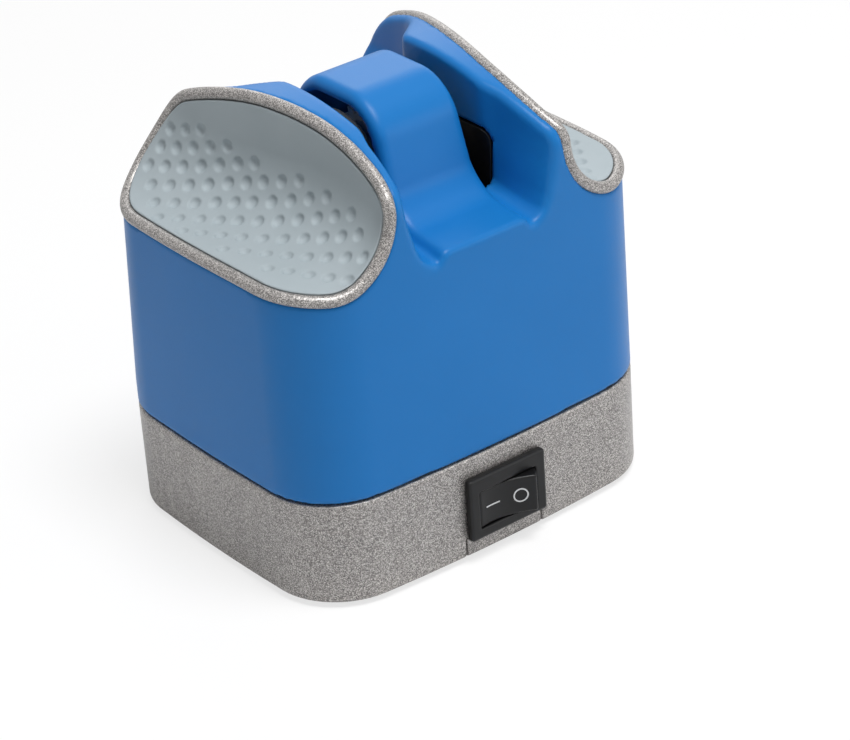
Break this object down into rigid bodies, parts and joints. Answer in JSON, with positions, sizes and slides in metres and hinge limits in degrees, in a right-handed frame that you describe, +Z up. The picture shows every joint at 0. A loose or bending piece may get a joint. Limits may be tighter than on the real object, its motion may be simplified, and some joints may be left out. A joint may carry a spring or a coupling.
{
  "type": "electric knife sharpener",
  "caption": "Compact electric knife sharpener with two blade slots beside a bridge over driven grinding wheels, dimpled side grips and a front rocker switch.",
  "frame": {"origin": "on the table, under the middle of the outer box of the sharpener", "axes": "+Z up, -Y towards the side with the switch, +X to the right seen from that side"},
  "size_m": [0.098, 0.0864, 0.1028],
  "materials": {
    "blue_plastic": "satin moulded",
    "silver_paint": "silver paint with a fine grain",
    "grip_rubber": "matt, soft",
    "black_plastic": "moulded",
    "steel": "plain",
    "brass": "plain",
    "white_plastic": "moulded",
    "abrasive": "bonded grit",
    "foot_rubber": "matt",
    "board": "coated"
  },
  "bodies": {
    "housing": {"body_shell": "blue_plastic", "grip_ring_left": "silver_paint", "grip_ring_right": "silver_paint", "grip_pad_left": "grip_rubber", "grip_pad_right": "grip_rubber", "base_tray": "silver_paint", "bottom_cover": "silver_paint", "cover_screw_front_left": "steel", "foot_front_left": "foot_rubber", "cover_screw_front_right": "steel", "foot_front_right": "foot_rubber", "cover_screw_back_left": "steel", "foot_back_left": "foot_rubber", "cover_screw_back_right": "steel", "foot_back_right": "foot_rubber", "switch_housing": "black_plastic", "switch_terminal_left": "brass", "switch_terminal_right": "brass", "gearbox_plate_left": "steel", "gearbox_plate_right": "steel", "gearbox_spacer_front": "brass", "gearbox_screw_front": "steel", "gearbox_spacer_back": "brass", "gearbox_screw_back": "steel", "spindle_bush_left": "brass", "spindle_bush_right": "brass", "idler_pin": "steel", "motor_can": "steel", "motor_end_bell": "black_plastic", "blade_guide_left": "black_plastic", "blade_guide_right": "black_plastic", "slot_liner_left": "black_plastic", "slot_liner_right": "black_plastic", "power_inlet": "black_plastic", "circuit_board": "board", "capacitor": "black_plastic"},
    "spindle": {"spindle_shaft": "steel", "spindle_gear": "white_plastic", "grinding_wheel_left": "abrasive", "grinding_wheel_right": "abrasive"},
    "idler": {"idler_gear": "white_plastic"},
    "rotor": {"motor_shaft": "steel", "motor_pinion": "brass"},
    "rocker": {"switch_rocker": "black_plastic"}
  },
  "joints": [
    {"name": "spindle_spin", "type": "hinge", "parent": "housing", "child": "spindle", "pos_m": [0, -0.00206, 0.0842], "axis": [1, 0, 0], "continuous": true},
    {"name": "idler_spin", "type": "hinge", "parent": "housing", "child": "idler", "pos_m": [0, -0.00206, 0.06014], "axis": [1, 0, 0], "continuous": true},
    {"name": "motor_spin", "type": "hinge", "parent": "housing", "child": "rotor", "pos_m": [0, -0.00206, 0.03908], "axis": [1, 0, 0], "continuous": true},
    {"name": "rocker_tilt", "type": "hinge", "parent": "housing", "child": "rocker", "pos_m": [0, -0.03708, 0.0132], "axis": [0, 0, 1], "range_deg": [0, 24]}
  ],
  "couplings": [
    {"joint": "idler_spin", "follows": "spindle_spin", "ratio": -0.6},
    {"joint": "motor_spin", "follows": "spindle_spin", "ratio": 1.5}
  ]
}
